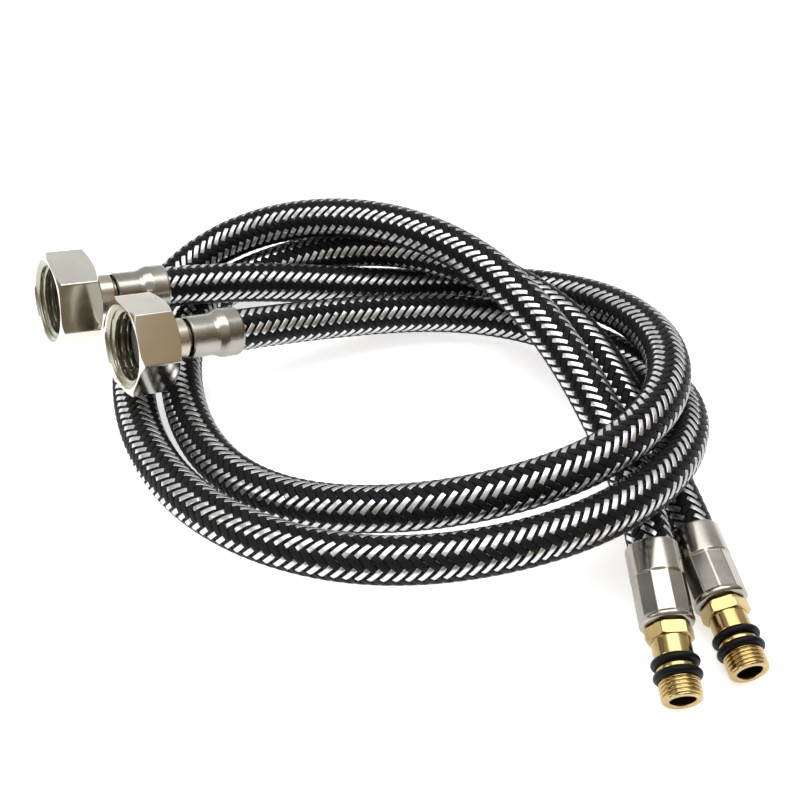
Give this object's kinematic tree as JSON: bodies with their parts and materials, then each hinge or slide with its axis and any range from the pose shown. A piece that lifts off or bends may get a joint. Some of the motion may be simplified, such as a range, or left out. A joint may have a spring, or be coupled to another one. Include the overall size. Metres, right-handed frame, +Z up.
{
  "type": "braided supply line",
  "caption": "Coiled pair of flexible braided supply hoses with swivel hexagon nuts at one end and slim brass O-ring tails at the other.",
  "frame": {"origin": "on the floor, under the middle of the coil's bounding box", "axes": "+Z up; +X to the right as the coil is seen from the front, towards the tails; -Y towards the viewer"},
  "size_m": [0.1928, 0.1628, 0.0436],
  "materials": {
    "nut": "bright nickel-plated brass, softly reflective",
    "insert": "nickel-plated, dull",
    "ferrule": "satin stainless",
    "tail": "bare turned brass",
    "o_ring": "matte black",
    "gasket": "matte black",
    "braid": "woven stainless wire and black yarn",
    "liner": "matte black"
  },
  "bodies": {
    "coil": {"braid_sleeve_a": "braid", "liner_a": "liner", "braid_sleeve_b": "braid", "liner_b": "liner"},
    "nut_end_a": {"nut_insert_a": "insert", "nut_ferrule_a": "ferrule", "braid_nut_end_a": "braid", "liner_nut_end_a": "liner"},
    "gasket_a": {"gasket_a": "gasket"},
    "nut_a": {"swivel_nut_a": "nut"},
    "tail_end_a": {"tail_ferrule_a": "ferrule", "male_tail_a": "tail", "o_ring_inner_a": "o_ring", "o_ring_outer_a": "o_ring", "braid_tail_end_a": "braid", "liner_tail_end_a": "liner"},
    "nut_end_b": {"nut_insert_b": "insert", "nut_ferrule_b": "ferrule", "braid_nut_end_b": "braid", "liner_nut_end_b": "liner"},
    "gasket_b": {"gasket_b": "gasket"},
    "nut_b": {"swivel_nut_b": "nut"},
    "tail_end_b": {"tail_ferrule_b": "ferrule", "male_tail_b": "tail", "o_ring_inner_b": "o_ring", "o_ring_outer_b": "o_ring", "braid_tail_end_b": "braid", "liner_tail_end_b": "liner"}
  },
  "joints": [
    {"name": "nut_end_flex_a", "type": "hinge", "parent": "coil", "child": "nut_end_a", "pos_m": [-0.04757, 0.05204, 0.01754], "axis": [-0.3294, 0.9442, 0], "range_deg": [0, 18], "stiffness_Nm_per_rad": 0.15, "deforming": ["braid_nut_end_a", "liner_nut_end_a"]},
    {"name": "nut_spin_a", "type": "hinge", "parent": "nut_end_a", "child": "gasket_a", "pos_m": [-0.08281, 0.03407, 0.02808], "axis": [-0.841, -0.4686, 0.2705], "continuous": true},
    {"name": "nut_slide_a", "type": "slide", "parent": "gasket_a", "child": "nut_a", "axis": [0.841, 0.4686, -0.2705], "range_m": [-0.0003, 0.0069]},
    {"name": "tail_end_flex_a", "type": "hinge", "parent": "coil", "child": "tail_end_a", "pos_m": [0.0814, -0.01921, 0.00831], "axis": [0, 0, 1], "range_deg": [0, 18], "stiffness_Nm_per_rad": 0.15, "deforming": ["braid_tail_end_a", "liner_tail_end_a"]},
    {"name": "nut_end_flex_b", "type": "hinge", "parent": "coil", "child": "nut_end_b", "pos_m": [-0.02553, 0.03508, 0.01681], "axis": [-0.4589, 0.8885, 0], "range_deg": [0, 18], "stiffness_Nm_per_rad": 0.15, "deforming": ["braid_nut_end_b", "liner_nut_end_b"]},
    {"name": "nut_spin_b", "type": "hinge", "parent": "nut_end_b", "child": "gasket_b", "pos_m": [-0.05925, 0.01502, 0.0287], "axis": [-0.8147, -0.4985, 0.2963], "continuous": true},
    {"name": "nut_slide_b", "type": "slide", "parent": "gasket_b", "child": "nut_b", "axis": [0.8147, 0.4985, -0.2963], "range_m": [-0.0006, 0.0066]},
    {"name": "tail_end_flex_b", "type": "hinge", "parent": "coil", "child": "tail_end_b", "pos_m": [0.07035, -0.02632, 0.01343], "axis": [0, 0, -1], "range_deg": [0, 18], "stiffness_Nm_per_rad": 0.15, "deforming": ["braid_tail_end_b", "liner_tail_end_b"]}
  ]
}
